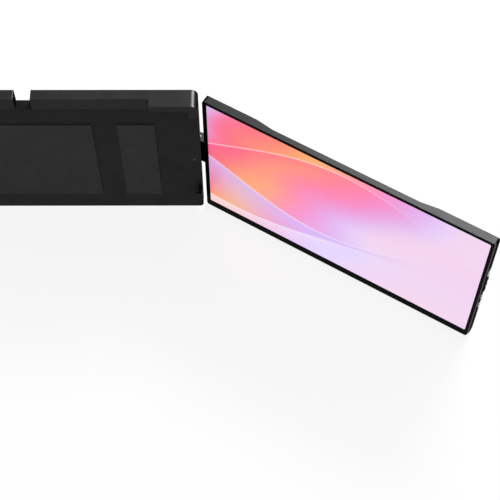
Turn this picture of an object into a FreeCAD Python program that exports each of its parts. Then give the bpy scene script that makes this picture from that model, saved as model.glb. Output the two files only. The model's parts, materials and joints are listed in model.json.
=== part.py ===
import FreeCAD, Part
import math
import os
import re
import Sketcher
from FreeCAD import Placement, Rotation, Vector

# Laptop screen extender: a slab frame that clips onto a laptop's lid, with one display panel on a
# vertical friction hinge at the frame's right edge.
# Frame axes: X to the user's right, Y away from the user, Z up along the lid.
# The origin is the centre of the pad face that the back of the lid rests on.

doc = FreeCAD.newDocument("screen_extender")
sheet = doc.addObject("Spreadsheet::Sheet", "sizes")

SIZES = [
    # frame slab
    ("frame_half", 162.0, "half the frame's width"),
    ("frame_low", -85.0, "lower edge of the frame"),
    ("frame_high", 85.0, "upper edge of the fixed frame, and floor of the camera notch"),
    ("plate_screw_in", 6.5, "plate screws' distance from the frame's sides"),
    ("pad_proud", 0.8, "how far the lid pads stand in front of the front plate"),
    ("pad_sunk", 0.4, "how deep the lid pads sit in the front plate"),
    ("plate_thick", 2.0, "front plate thickness"),
    ("frame_depth", 11.0, "from the lid rest face to the frame's rear face"),
    ("rear_wall", 1.8, "rear wall of the frame shell"),
    ("rail_wide", 33.0, "solid side rails of the frame shell"),
    ("sill_tall", 8.0, "solid lower rail of the frame shell"),
    ("head_tall", 5.0, "upper rail that the clamp legs pass through"),
    ("frame_corner", 4.0, "rounding of the frame's lower corners"),
    ("shell_edge", 1.0, "rounding of the rear edges of the shell and the corner guards"),
    ("gap", 0.3, "gap between pieces that pass each other"),
    ("seat_gap", 0.1, "gap around a piece that sits in a pocket"),
    # lid pads
    ("pad_half", 60.0, "half the width of the centre pad"),
    ("pad_tall", 120.0, "height of the lid pads"),
    ("side_pad_wide", 36.0, "width of each outer pad"),
    ("side_pad_in", 42.0, "outer pads' distance from the frame's sides"),
    # hook bars of the sliding clamp
    ("bar_tall", 15.9, "height of the hook bars"),
    ("notch_half", 7.8, "half the width of the camera notch"),
    ("hook_long", 45.0, "length of the hook lips along the bars"),
    ("hook_reach", 9.5, "how far the hooks reach in front of the lid rest face"),
    ("lip_thick", 2.6, "thickness of the hook lips"),
    ("lip_tall", 7.9, "height of the hook lips"),
    ("web_thick", 3.0, "thickness of the hooks above the lid"),
    ("ear_thick", 3.8, "thickness of the ears beside the lid"),
    ("ear_wide", 9.0, "width of the ears in front of the lid"),
    ("ear_tall", 17.9, "height of the ears"),
    ("bar_corner", 6.5, "rounding of the bars' outer ends"),
    ("bar_edge", 0.8, "rounding of the bars' long edges"),
    ("hook_inner", 3.0, "inner rounding where the lip leaves the bar"),
    ("liner_thick", 0.6, "thickness of the rubber hook liners"),
    # clamp carriage inside the frame
    ("clamp_travel", 25.0, "how far the clamp slides up"),
    ("leg_beside", 3.0, "clamp legs' distance from the cavity's sides"),
    ("leg_wide", 26.0, "width of each clamp leg"),
    ("leg_thick", 1.2, "thickness of the steel carriage"),
    ("leg_into_bar", 10.0, "how far each leg enters its hook bar"),
    ("cross_low", -36.0, "lower edge of the carriage's cross bar"),
    ("cross_tall", 14.0, "height of the carriage's cross bar"),
    ("rod_inside", 25.0, "guide rods' distance inside the clamp legs"),
    ("rod_radius", 1.2, "guide rod radius"),
    ("rod_level", 6.3, "guide rods' distance behind the lid rest face"),
    ("rod_running", 0.05, "running clearance of the runners on the rods"),
    ("bearer_thick", 4.0, "height of each rod bearer"),
    ("bearer_wide", 16.0, "width of each rod bearer"),
    ("runner_wide", 14.0, "width of each runner"),
    ("spring_long", 50.0, "length of each clamp spring at rest"),
    ("spring_wire", 0.5, "wire thickness of the clamp springs"),
    ("spring_room", 0.25, "gap between the guide rod and its spring"),
    # corner guards at the foot of the frame
    ("guard_high", -46.0, "upper end of the corner guards"),
    ("guard_low", -67.0, "lower end of the corner guards"),
    ("guard_lip_wide", 6.5, "width of the guards' front lips"),
    ("guard_corner", 1.5, "rounding of the guards' outer corners"),
    # rear cover over the clamp mechanism
    ("cover_half", 56.0, "half the width of the mechanism cover"),
    ("cover_low", -66.0, "lower edge of the mechanism cover"),
    ("cover_high", 56.0, "upper edge of the mechanism cover"),
    ("cover_thick", 3.0, "how far the mechanism cover stands proud"),
    ("cover_wall", 1.4, "wall of the mechanism cover"),
    ("cover_corner", 7.0, "corner rounding of the mechanism cover"),
    ("cover_rim", 9.0, "overlap of the cover around the shell's window"),
    ("cover_screw_in", 4.5, "cover screws' distance from the cover's edges"),
    ("label_wide", 56.0, "width of the bare label recess"),
    ("label_tall", 20.0, "height of the bare label recess"),
    ("label_deep", 0.3, "depth of the bare label recess"),
    # feet under the frame
    ("foot_in", 26.0, "foot strips' distance from the frame's sides"),
    ("foot_long", 56.0, "length of each foot strip"),
    ("foot_thick", 1.2, "thickness of the foot strips"),
    ("foot_inset", 2.0, "foot strips' distance from the frame's faces"),
    # hinge
    ("rest_angle", 31.0, "swing of the panel towards the user at rest, in degrees"),
    ("axis_inside", 1.5, "hinge axis inside the frame's side"),
    ("axis_behind", 7.1, "hinge axis behind the frame's rear face"),
    ("knuckle_radius", 4.8, "outer radius of the hinge knuckles"),
    ("pin_radius", 2.0, "hinge pin radius"),
    ("pin_running", 0.05, "running clearance of the pin in the fixed knuckle"),
    ("pin_press", 0.02, "clearance of the pin in the moving knuckles"),
    ("hinge_low", -17.6, "lower end of the hinge block"),
    ("hinge_high", 17.2, "upper end of the hinge block"),
    ("fixed_tall", 11.2, "height of the fixed knuckle"),
    ("washer_thick", 0.7, "thickness of the friction washers"),
    ("leaf_thick", 1.5, "thickness of the hinge leaf"),
    ("leaf_wide", 33.0, "width of the hinge leaf on the frame"),
    ("leaf_inset", 3.5, "leaf's outer edge inside the frame's side"),
    ("relief_wide", 2.0, "width of the relief in the frame's rear edge that the hinge arm swings past"),
    ("relief_deep", 3.0, "depth of that relief"),
    ("arm_thick", 1.6, "thickness of the arm plate inside the panel"),
    ("arm_long", 38.0, "length of the arm plate inside the panel"),
    ("arm_inset", 2.0, "arm plate's ends inside the hinge block's ends"),
    # panel, in its own frame: X along the panel from the hinge axis, Y out of its back
    ("display_wide", 293.8, "width of the lit display"),
    ("display_tall", 165.2, "height of the lit display"),
    ("bezel_near", 4.6, "bezel between the display and the hinge"),
    ("bezel_side", 3.2, "bezel above the display and at its free end"),
    ("bezel_foot", 10.0, "bezel below the display"),
    ("bezel_thick", 0.6, "thickness of the front bezel"),
    ("bezel_corner", 3.0, "corner rounding of the bezel"),
    ("panel_middle", -3.25, "height of the panel's middle"),
    ("panel_from", 8.6, "panel's near edge from the hinge axis"),
    ("panel_ahead", 5.7, "panel's front plane ahead of the hinge axis"),
    ("end_thick", 8.6, "thickness of the panel's end zones"),
    ("mid_thick", 6.2, "thickness of the panel's middle zone"),
    ("near_zone", 55.0, "length of the thick zone beside the hinge"),
    ("far_zone", 58.0, "length of the thick zone at the free end"),
    ("ramp_long", 18.0, "length of the ramps between thick and thin zones"),
    ("back_wall", 1.4, "wall of the panel's back cover"),
    ("flare", 1.6, "how far the free end's side wall flares out behind the bezel"),
    ("flare_level", 2.8, "depth of the flare's slope"),
    ("back_corner", 3.0, "rounding of the back cover's upper corner at the free end"),
    ("back_corner_low", 7.0, "rounding of the back cover's lower corner at the free end"),
    ("opening_corner", 1.4, "corner rounding of the bezel's opening"),
    ("glass_sunk", 0.4, "display surface behind the bezel's face"),
    ("glass_gap", 0.2, "gap between the display surface and the bezel"),
    ("glass_thick", 0.8, "thickness of the display sheet"),
    ("tray_thick", 1.2, "thickness of the display's metal tray"),
    ("tray_lap", 1.0, "overlap of the tray behind the bezel"),
    # boards and ports in the free end
    ("board_thick", 0.8, "circuit board thickness"),
    ("board_low", -50.0, "lower edge of the main board"),
    ("board_high", 46.0, "upper edge of the main board"),
    ("port_level", 5.2, "ports' middle behind the panel's front plane"),
    ("port_deep", 7.5, "length of the port shells"),
    ("port_sunk", 0.25, "port shells inside the side wall's face"),
    ("usb_wide", 8.94, "USB-C shell width"),
    ("usb_thick", 3.16, "USB-C shell thickness"),
    ("usb_upper", -13.5, "height of the upper USB-C port"),
    ("usb_lower", -30.0, "height of the lower USB-C port"),
    ("video_wide", 11.2, "mini video port width"),
    ("video_thick", 3.2, "mini video port thickness"),
    ("video_height", 31.0, "height of the mini video port"),
    ("port_wall", 0.35, "wall of the port shells"),
    # buttons
    ("button_tall", 4.6, "button height along the side"),
    ("button_thick", 2.4, "button thickness"),
    ("button_proud", 1.0, "how far the buttons stand out"),
    ("button_gap", 0.2, "gap around each button"),
    ("button_travel", 0.5, "button travel"),
    ("button_pitch", 9.5, "spacing of the buttons"),
    ("button_middle", 8.5, "height of the middle button"),
    ("button_level", 5.5, "buttons' middle behind the panel's front plane"),
    ("button_flange", 0.8, "width and thickness of the buttons' retaining flange"),
    # bumpers on the panel's back
    ("bumper_long", 20.0, "length of each bumper"),
    ("bumper_wide", 8.0, "width of each bumper"),
    ("bumper_thick", 1.2, "thickness of each bumper"),
    # screws
    ("screw_radius", 1.0, "shank radius of the small screws"),
    ("screw_head", 1.9, "head radius of the small screws"),
    ("screw_head_tall", 1.1, "head height of the small screws"),
    ("screw_long", 5.0, "shank length of the small screws"),
]
for row, (alias, value, note) in enumerate(SIZES, start=1):
    sheet.set("A%d" % row, alias)
    sheet.set("B%d" % row, repr(value))
    sheet.set("C%d" % row, note)
    sheet.setAlias("B%d" % row, alias)
doc.recompute()

ALIASES = {alias for alias, value, note in SIZES}
SUBPARTS = []


# Expressions and values

def formula(text):
    """The expression text with each cell name led by the sheet's name."""
    return re.sub(r"[a-z_]+", lambda m: "sizes." + m.group() if m.group() in ALIASES else m.group(), text)


def number(text):
    """The value of an expression of cell names now."""
    return float(sheet.evalExpression(formula(text)))


def bind(obj, prop, text):
    obj.setExpression(prop, formula(text))


# Names for places that many pieces share

PLATE_FRONT = "pad_proud"
PLATE_BACK = "(pad_proud + plate_thick)"
SHELL_INNER = "(frame_depth - rear_wall)"
CAVITY_HALF = "(frame_half - rail_wide)"
CAVITY_LOW = "(frame_low + sill_tall)"
CAVITY_HIGH = "(frame_high - head_tall)"
BAR_LOW = "(frame_high + gap)"
BAR_TOP = "(frame_high + gap + bar_tall)"
LEG_FRONT = "(pad_proud + plate_thick + gap)"
LEG_BACK = "(pad_proud + plate_thick + gap + leg_thick)"
LEG_TO = "(frame_half - rail_wide - leg_beside)"
LEG_FROM = "(frame_half - rail_wide - leg_beside - leg_wide)"
ROD_X = "(frame_half - rail_wide - leg_beside - leg_wide - rod_inside)"
HOOK_FROM = "(frame_half - hook_long)"
LEG_TOP = "(frame_high + gap + leg_into_bar)"
CROSS_TOP = "(cross_low + cross_tall)"
GUARD_IN = "(frame_half - ear_thick)"
AXIS_X = "(frame_half - axis_inside)"
AXIS_Y = "(frame_depth + axis_behind)"
FIXED_LOW = "((hinge_low + hinge_high - fixed_tall) / 2)"
FIXED_HIGH = "((hinge_low + hinge_high + fixed_tall) / 2)"
SLOT_LOW = "((hinge_low + hinge_high - fixed_tall) / 2 - washer_thick - 2 * seat_gap)"
SLOT_HIGH = "((hinge_low + hinge_high + fixed_tall) / 2 + washer_thick + 2 * seat_gap)"
PANEL_FRONT = "(-panel_ahead)"
BEZEL_BACK = "(bezel_thick - panel_ahead)"
THICK_BACK = "(end_thick - panel_ahead)"
THIN_BACK = "(mid_thick - panel_ahead)"
THICK_INNER = "(end_thick - panel_ahead - back_wall)"
THIN_INNER = "(mid_thick - panel_ahead - back_wall)"
PANEL_TO = "(panel_from + bezel_near + display_wide + bezel_side)"
PANEL_HALF_TALL = "((display_tall + bezel_side + bezel_foot) / 2)"
PANEL_TOP = "(panel_middle + (display_tall + bezel_side + bezel_foot) / 2)"
PANEL_LOW = "(panel_middle - (display_tall + bezel_side + bezel_foot) / 2)"
SIDE_OUT = "(panel_from + bezel_near + display_wide + bezel_side + flare)"
SIDE_IN = "(panel_from + bezel_near + display_wide + bezel_side - back_wall)"
BOARD_EDGE = "(panel_from + bezel_near + display_wide + bezel_side + flare - port_sunk - port_deep)"
DISPLAY_FROM = "(panel_from + bezel_near)"
DISPLAY_LOW = "(panel_middle - (display_tall + bezel_side + bezel_foot) / 2 + bezel_foot)"
GLASS_FRONT = "(glass_sunk - panel_ahead)"
GLASS_BACK = "(glass_sunk + glass_thick - panel_ahead)"
TRAY_BACK = "(glass_sunk + glass_thick + tray_thick - panel_ahead)"


# Sketched bodies

NORMAL_SIGN = {"XY_Plane": 1, "XZ_Plane": -1, "YZ_Plane": 1}


def new_body(label):
    body = doc.addObject("PartDesign::Body", label)
    body.Label = label
    return body


def new_sketch(body, name, role, level):
    """A sketch on one of the body's own origin planes, at a level along that plane's axis."""
    sketch = body.newObject("Sketcher::SketchObject", name)
    plane = [item for item in body.Origin.OriginFeatures if item.Role == role][0]
    sketch.AttachmentSupport = [(plane, "")]
    sketch.MapMode = "FlatFace"
    sign = "" if NORMAL_SIGN[role] > 0 else "-"
    bind(sketch, "AttachmentOffset.Base.z", "%s(%s)" % (sign, level))
    return sketch


def place_point(sketch, geometry, end, name, across, up):
    """Fix one point of a sketch at a pair of expressions measured from its origin."""
    spots = (("DistanceX", name + "_across", across), ("DistanceY", name + "_up", up))
    for kind, label, text in spots:
        index = sketch.addConstraint(Sketcher.Constraint(kind, -1, 1, geometry, end, number(text)))
        sketch.renameConstraint(index, label)
        bind(sketch, "Constraints." + label, text)


def outline(body, name, role, level, corners):
    """A closed sketch of straight lines through corners given as pairs of expressions."""
    sketch = new_sketch(body, name, role, level)
    points = [Vector(number(across), number(up), 0) for across, up in corners]
    count = len(points)
    for i in range(count):
        sketch.addGeometry(Part.LineSegment(points[i], points[(i + 1) % count]), False)
    for i in range(count):
        sketch.addConstraint(Sketcher.Constraint("Coincident", i, 2, (i + 1) % count, 1))
    for i, (across, up) in enumerate(corners):
        place_point(sketch, i, 1, "p%d" % i, across, up)
    return sketch


def rectangle(body, name, role, level, across, up):
    corners = [(across[0], up[0]), (across[1], up[0]), (across[1], up[1]), (across[0], up[1])]
    return outline(body, name, role, level, corners)


def circles(body, name, role, level, centres, radius):
    sketch = new_sketch(body, name, role, level)
    for i, (across, up) in enumerate(centres):
        middle = Vector(number(across), number(up), 0)
        sketch.addGeometry(Part.Circle(middle, Vector(0, 0, 1), number(radius)), False)
        place_point(sketch, i, 3, "c%d" % i, across, up)
        index = sketch.addConstraint(Sketcher.Constraint("Radius", i, number(radius)))
        sketch.renameConstraint(index, "r%d" % i)
        bind(sketch, "Constraints.r%d" % i, radius)
    return sketch


def grow(body, sketch, role, length, toward=1):
    """Pad a sketch along the plane's axis, up it (1) or down it (-1), and check that it adds."""
    before = body.Shape.Volume if body.Tip else 0.0
    pad = body.newObject("PartDesign::Pad", sketch.Name + "_pad")
    pad.Profile = sketch
    bind(pad, "Length", length)
    pad.Reversed = toward != NORMAL_SIGN[role]
    doc.recompute()
    if body.Shape.Volume <= before:
        raise ValueError("pad adds nothing: " + sketch.Name)
    return pad


def carve(body, sketch, role, length, toward=1):
    """Pocket a sketch along the plane's axis, up it (1) or down it (-1), and check that it cuts."""
    before = body.Shape.Volume
    pocket = body.newObject("PartDesign::Pocket", sketch.Name + "_cut")
    pocket.Profile = sketch
    bind(pocket, "Length", length)
    pocket.Reversed = toward == NORMAL_SIGN[role]
    doc.recompute()
    if body.Shape.Volume >= before:
        raise ValueError("pocket cuts nothing: " + sketch.Name)
    return pocket


def slab(body, name, across, deep, up):
    """Add a block between expression pairs along X, Y and Z."""
    sketch = rectangle(body, name, "XZ_Plane", deep[0], across, up)
    return grow(body, sketch, "XZ_Plane", "(%s) - (%s)" % (deep[1], deep[0]))


def hollow(body, name, across, deep, up):
    """Remove a block between expression pairs along X, Y and Z."""
    sketch = rectangle(body, name, "XZ_Plane", deep[0], across, up)
    return carve(body, sketch, "XZ_Plane", "(%s) - (%s)" % (deep[1], deep[0]))


def drill(body, name, centres, radius, deep):
    """Remove round holes along Y between a pair of levels."""
    sketch = circles(body, name, "XZ_Plane", deep[0], centres, radius)
    return carve(body, sketch, "XZ_Plane", "(%s) - (%s)" % (deep[1], deep[0]))


def edges_where(shape, test):
    return ["Edge%d" % (i + 1) for i, edge in enumerate(shape.Edges) if test(edge)]


def dress(body, kind, name, size, test):
    """Fillet or chamfer the edges of the body that pass a test."""
    tip = body.Tip
    names = edges_where(tip.Shape, test)
    if not names:
        raise ValueError("no edges for " + name)
    feature = body.newObject("PartDesign::" + kind, name)
    feature.Base = (tip, names)
    bind(feature, "Radius" if kind == "Fillet" else "Size", size)
    doc.recompute()
    return feature


def near(value, text):
    return abs(value - number(text)) < 1e-4


def is_along(edge, direction):
    """Whether a straight edge runs along X, Y or Z."""
    if not isinstance(edge.Curve, Part.Line):
        return False
    spread = edge.Vertexes[-1].Point - edge.Vertexes[0].Point
    lengths = {"X": abs(spread.x), "Y": abs(spread.y), "Z": abs(spread.z)}
    return lengths[direction] > 0.9999 * spread.Length


def in_plane(edge, direction, text):
    """Whether the whole edge lies at one level along X, Y or Z."""
    box = edge.BoundBox
    low, high = {"X": (box.XMin, box.XMax), "Y": (box.YMin, box.YMax), "Z": (box.ZMin, box.ZMax)}[direction]
    return near(low, text) and near(high, text)


# Primitives and booleans

def block(name, across, deep, up):
    box = doc.addObject("Part::Box", name)
    for prop, place, pair in (("Length", "x", across), ("Width", "y", deep), ("Height", "z", up)):
        bind(box, prop, "(%s) - (%s)" % (pair[1], pair[0]))
        bind(box, "Placement.Base." + place, pair[0])
    return box


TURNS = {"X": Rotation(Vector(0, 1, 0), 90), "Y": Rotation(Vector(1, 0, 0), -90), "Z": Rotation()}


def rod(name, direction, start, radius, length):
    """A cylinder from a start point, given as three expressions, up X, Y or Z."""
    cylinder = doc.addObject("Part::Cylinder", name)
    cylinder.Placement.Rotation = TURNS[direction]
    for place, text in zip("xyz", start):
        bind(cylinder, "Placement.Base." + place, text)
    bind(cylinder, "Radius", radius)
    bind(cylinder, "Height", length)
    return cylinder


def cut(name, base, *tools):
    tool = tools[0] if len(tools) == 1 else fuse(name + "_tools", *tools)
    result = doc.addObject("Part::Cut", name)
    result.Base = base
    result.Tool = tool
    result.Refine = True
    return result


def fuse(name, *pieces):
    result = doc.addObject("Part::MultiFuse", name)
    result.Shapes = list(pieces)
    result.Refine = True
    return result


def group(name, pieces):
    """Identical pieces kept as separate solids of one sub-part."""
    result = doc.addObject("Part::Compound", name)
    result.Links = list(pieces)
    return result


def deliver(label, obj, in_panel=False):
    """Register a sub-part; one that swings with the panel takes the panel's placement."""
    obj.Label = label
    if in_panel:
        obj.Placement = Placement(Vector(0, 0, 0), Rotation(Vector(0, 0, 1), -number("rest_angle")))
        bind(obj, "Placement.Base.x", AXIS_X)
        bind(obj, "Placement.Base.y", AXIS_Y)
        bind(obj, "Placement.Rotation.Angle", "-rest_angle")
    SUBPARTS.append(obj)
    return obj


SIDES = (("left", -1), ("right", 1))


def mirrored_pair(side, low, high):
    """A pair of expressions along X, given for the right side, for either side."""
    return (low, high) if side > 0 else ("-(%s)" % high, "-(%s)" % low)


def mirrored(side, text):
    return text if side > 0 else "-(%s)" % text


# Frame: front plate, shell and pads

PLATE_SCREWS = [(x, z)
                for x in ("(plate_screw_in - frame_half)", "(frame_half - plate_screw_in)")
                for z in ("(frame_low + sill_tall)", "((frame_low + frame_high) / 2)",
                          "(frame_high - 2 * head_tall)")]
PADS = (("lid_pad_left", "(side_pad_in - frame_half)", "(side_pad_in + side_pad_wide - frame_half)"),
        ("lid_pad_centre", "-pad_half", "pad_half"),
        ("lid_pad_right", "(frame_half - side_pad_in - side_pad_wide)", "(frame_half - side_pad_in)"))
PAD_UP = ("(-pad_tall / 2)", "(pad_tall / 2)")


def frame_block(body, name, deep):
    """The frame's outline with rounded lower corners."""
    slab(body, name, ("-frame_half", "frame_half"), deep, ("frame_low", "frame_high"))
    dress(body, "Fillet", name + "_corners", "frame_corner",
          lambda edge: is_along(edge, "Y") and in_plane(edge, "Z", "frame_low"))


def guard_notches(body, name, deep):
    """Seats for the corner guards in the frame's sides."""
    for word, side in SIDES:
        hollow(body, name + "_" + word, mirrored_pair(side, GUARD_IN, "frame_half"), deep,
               ("guard_low - seat_gap", "guard_high + seat_gap"))


def build_front_plate():
    body = new_body("front_plate")
    frame_block(body, "plate_block", (PLATE_FRONT, PLATE_BACK))
    guard_notches(body, "plate_notch", (PLATE_FRONT, PLATE_BACK))
    for name, low, high in PADS:
        hollow(body, name + "_seat", (low, high), (PLATE_FRONT, PLATE_FRONT + " + pad_sunk"), PAD_UP)
    drill(body, "plate_head_holes", PLATE_SCREWS, "screw_head + seat_gap",
          (PLATE_FRONT, PLATE_FRONT + " + screw_head_tall"))
    drill(body, "plate_shank_holes", PLATE_SCREWS, "screw_radius + seat_gap", (PLATE_FRONT, PLATE_BACK))
    dress(body, "Chamfer", "plate_edge", "pad_sunk",
          lambda edge: in_plane(edge, "Y", PLATE_FRONT) and in_plane(edge, "Z", "frame_low"))
    deliver("front_plate", body)


def build_back_shell():
    body = new_body("back_shell")
    frame_block(body, "shell_block", (PLATE_BACK, "frame_depth"))
    dress(body, "Fillet", "shell_rear_edges", "shell_edge",
          lambda edge: in_plane(edge, "Y", "frame_depth") and not in_plane(edge, "Z", "frame_high"))
    guard_notches(body, "shell_notch", (PLATE_BACK, "frame_depth"))
    hollow(body, "shell_cavity", ("-" + CAVITY_HALF, CAVITY_HALF), (PLATE_BACK, SHELL_INNER),
           (CAVITY_LOW, CAVITY_HIGH))
    for word, side in SIDES:
        across = mirrored_pair(side, LEG_FROM + " - gap", LEG_TO + " + gap")
        hollow(body, "leg_slot_" + word, across, (PLATE_BACK, LEG_BACK + " + gap"),
               (CAVITY_HIGH, "frame_high"))
    hollow(body, "hinge_relief", ("(frame_half - relief_wide)", "frame_half"),
           ("(frame_depth - relief_deep)", "frame_depth"), ("(hinge_low - gap)", "(hinge_high + gap)"))
    hollow(body, "shell_window", ("cover_rim - cover_half", "cover_half - cover_rim"),
           (SHELL_INNER, "frame_depth"), ("cover_low + cover_rim", "cover_high - cover_rim"))
    drill(body, "shell_screw_holes", PLATE_SCREWS, "screw_radius + pin_press",
          (PLATE_BACK, PLATE_FRONT + " + screw_head_tall + screw_long"))
    drill(body, "shell_cover_holes", cover_screw_spots(), "screw_radius + pin_press",
          (SHELL_INNER, "frame_depth"))
    drill(body, "shell_leaf_holes", leaf_screw_spots(), "screw_radius + pin_press",
          ("frame_depth - screw_long", "frame_depth"))
    for height in guard_screw_heights():
        for word, side in SIDES:
            name = "shell_guard_hole_%s_%d" % (word, len(body.Group))
            sketch = circles(body, name, "YZ_Plane", mirrored(side, GUARD_IN),
                             [("frame_depth / 2 + pad_proud", height)], "screw_radius + pin_press")
            carve(body, sketch, "YZ_Plane", "screw_long", toward=-side)
    deliver("back_shell", body)


def build_lid_pads():
    for name, low, high in PADS:
        pad = block(name, (low, high), ("0", PLATE_FRONT + " + pad_sunk"), PAD_UP)
        deliver(name, pad)


def build_feet():
    for word, side in SIDES:
        across = mirrored_pair(side, "(frame_half - foot_in - foot_long)", "(frame_half - foot_in)")
        foot = block("foot_" + word, across, (PLATE_FRONT + " + foot_inset", "frame_depth - foot_inset"),
                     ("frame_low - foot_thick", "frame_low"))
        deliver("foot_" + word, foot)


# Frame: corner guards

def guard_screw_heights():
    return ("(guard_low + (guard_high - guard_low) * 0.25)", "(guard_low + (guard_high - guard_low) * 0.75)")


def build_corner_guards():
    for word, side in SIDES:
        body = new_body("corner_guard_" + word)
        up = ("guard_low", "guard_high")
        slab(body, "guard_wall_" + word, mirrored_pair(side, GUARD_IN, "frame_half"),
             ("-hook_reach", "frame_depth"), up)
        slab(body, "guard_lip_" + word, mirrored_pair(side, "(frame_half - guard_lip_wide)", "frame_half"),
             ("-hook_reach", "(lip_thick - hook_reach)"), up)
        outer = mirrored(side, "frame_half")
        dress(body, "Fillet", "guard_front_" + word, "guard_corner",
              lambda edge: in_plane(edge, "X", outer) and in_plane(edge, "Y", "-hook_reach"))
        dress(body, "Fillet", "guard_rear_" + word, "shell_edge",
              lambda edge: in_plane(edge, "X", outer) and in_plane(edge, "Y", "frame_depth"))
        dress(body, "Chamfer", "guard_ends_" + word, "pad_sunk",
              lambda edge: (in_plane(edge, "Z", "guard_low") or in_plane(edge, "Z", "guard_high"))
              and edge.BoundBox.YMax < number(PLATE_FRONT))
        for height in guard_screw_heights():
            spot = [("frame_depth / 2 + pad_proud", height)]
            shank = circles(body, "guard_shank_%s_%d" % (word, len(body.Group)), "YZ_Plane", outer,
                            spot, "screw_radius + seat_gap")
            carve(body, shank, "YZ_Plane", "ear_thick", toward=-side)
            head = circles(body, "guard_head_%s_%d" % (word, len(body.Group)), "YZ_Plane", outer,
                           spot, "screw_head + seat_gap")
            carve(body, head, "YZ_Plane", "screw_head_tall", toward=-side)
        deliver("corner_guard_" + word, body)
        liner = block("guard_liner_" + word,
                      mirrored_pair(side, "(%s - liner_thick)" % GUARD_IN, GUARD_IN),
                      ("(lip_thick - hook_reach)", "(%s - seat_gap)" % PLATE_FRONT),
                      ("(guard_low + bar_edge)", "(guard_high - bar_edge)"))
        deliver("guard_liner_" + word, liner)


# Screws

def screw(name, direction, face, outward, long="screw_long"):
    """A screw along X, Y or Z: its head's outer face is at a point, and faces up the axis (1) or down it."""
    index = "XYZ".index(direction)
    if outward > 0:
        head_start = "(%s - screw_head_tall)" % face[index]
        shank_start = "(%s - screw_head_tall - %s)" % (face[index], long)
    else:
        head_start = face[index]
        shank_start = "(%s + screw_head_tall)" % face[index]
    head_at = list(face)
    head_at[index] = head_start
    shank_at = list(face)
    shank_at[index] = shank_start
    head = rod(name + "_head", direction, head_at, "screw_head", "screw_head_tall")
    shank = rod(name + "_shank", direction, shank_at, "screw_radius", long)
    recess_at = list(face)
    recess_at[index] = "(%s - screw_head_tall / 2)" % face[index] if outward > 0 else face[index]
    recess = rod(name + "_recess", direction, recess_at, "screw_radius * 0.7", "screw_head_tall / 2")
    return cut(name, fuse(name + "_solid", head, shank), recess)


def build_screws():
    plate = [screw("plate_screw_%d" % i, "Y", (x, PLATE_FRONT, z), -1)
             for i, (x, z) in enumerate(PLATE_SCREWS)]
    deliver("plate_screws", group("plate_screws", plate))
    cover = [screw("cover_screw_%d" % i, "Y", (x, "(frame_depth + cover_thick - label_deep)", z), 1)
             for i, (x, z) in enumerate(cover_screw_spots())]
    deliver("cover_screws", group("cover_screws", cover))
    leaf = [screw("leaf_screw_%d" % i, "Y", (x, "(frame_depth + leaf_thick + screw_head_tall)", z), 1)
            for i, (x, z) in enumerate(leaf_screw_spots())]
    deliver("leaf_screws", group("leaf_screws", leaf))
    guard = []
    for word, side in SIDES:
        for i, height in enumerate(guard_screw_heights()):
            face = (mirrored(side, "frame_half"), "(frame_depth / 2 + pad_proud)", height)
            guard.append(screw("guard_screw_%s_%d" % (word, i), "X", face, side))
    deliver("guard_screws", group("guard_screws", guard))
    hook_long = "(frame_depth - screw_head_tall - %s)" % LEG_FRONT
    hook = [screw("hook_screw_%d" % i, "Y", (x, "frame_depth", z), 1, hook_long)
            for i, (x, z) in enumerate(hook_screw_spots())]
    deliver("hook_screws", group("hook_screws", hook))


# Frame: cover over the mechanism

def cover_screw_spots():
    return [(x, z) for x in ("(cover_screw_in - cover_half)", "(cover_half - cover_screw_in)")
            for z in ("(cover_low + cover_screw_in)", "(cover_high - cover_screw_in)")]


def build_mechanism_cover():
    body = new_body("mechanism_cover")
    top = "(frame_depth + cover_thick)"
    slab(body, "cover_block", ("-cover_half", "cover_half"), ("frame_depth", top),
         ("cover_low", "cover_high"))
    dress(body, "Fillet", "cover_corners", "cover_corner", lambda edge: is_along(edge, "Y"))
    dress(body, "Chamfer", "cover_edge", "cover_thick - cover_wall",
          lambda edge: in_plane(edge, "Y", top))
    hollow(body, "cover_room", ("cover_rim - cover_half", "cover_half - cover_rim"),
           ("frame_depth", top + " - cover_wall"), ("cover_low + cover_rim", "cover_high - cover_rim"))
    hollow(body, "label_recess", ("-label_wide / 2", "label_wide / 2"), (top + " - label_deep", top),
           ("(cover_low + cover_high) / 2 - label_tall / 2", "(cover_low + cover_high) / 2 + label_tall / 2"))
    drill(body, "cover_head_holes", cover_screw_spots(), "screw_head + seat_gap",
          (top + " - label_deep - screw_head_tall", top))
    drill(body, "cover_shank_holes", cover_screw_spots(), "screw_radius + seat_gap", ("frame_depth", top))
    deliver("mechanism_cover", body)


# Guide rods, bearers, runners and springs

def rod_bearer(name, middle, low):
    solid = block(name + "_block", ("(%s - bearer_wide / 2)" % middle, "(%s + bearer_wide / 2)" % middle),
                  (PLATE_BACK + " + gap", SHELL_INNER), (low, "(%s + bearer_thick)" % low))
    hole = rod(name + "_bore", "Z", (middle, "rod_level", low), "rod_radius + pin_press", "bearer_thick")
    return cut(name, solid, hole)


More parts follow.
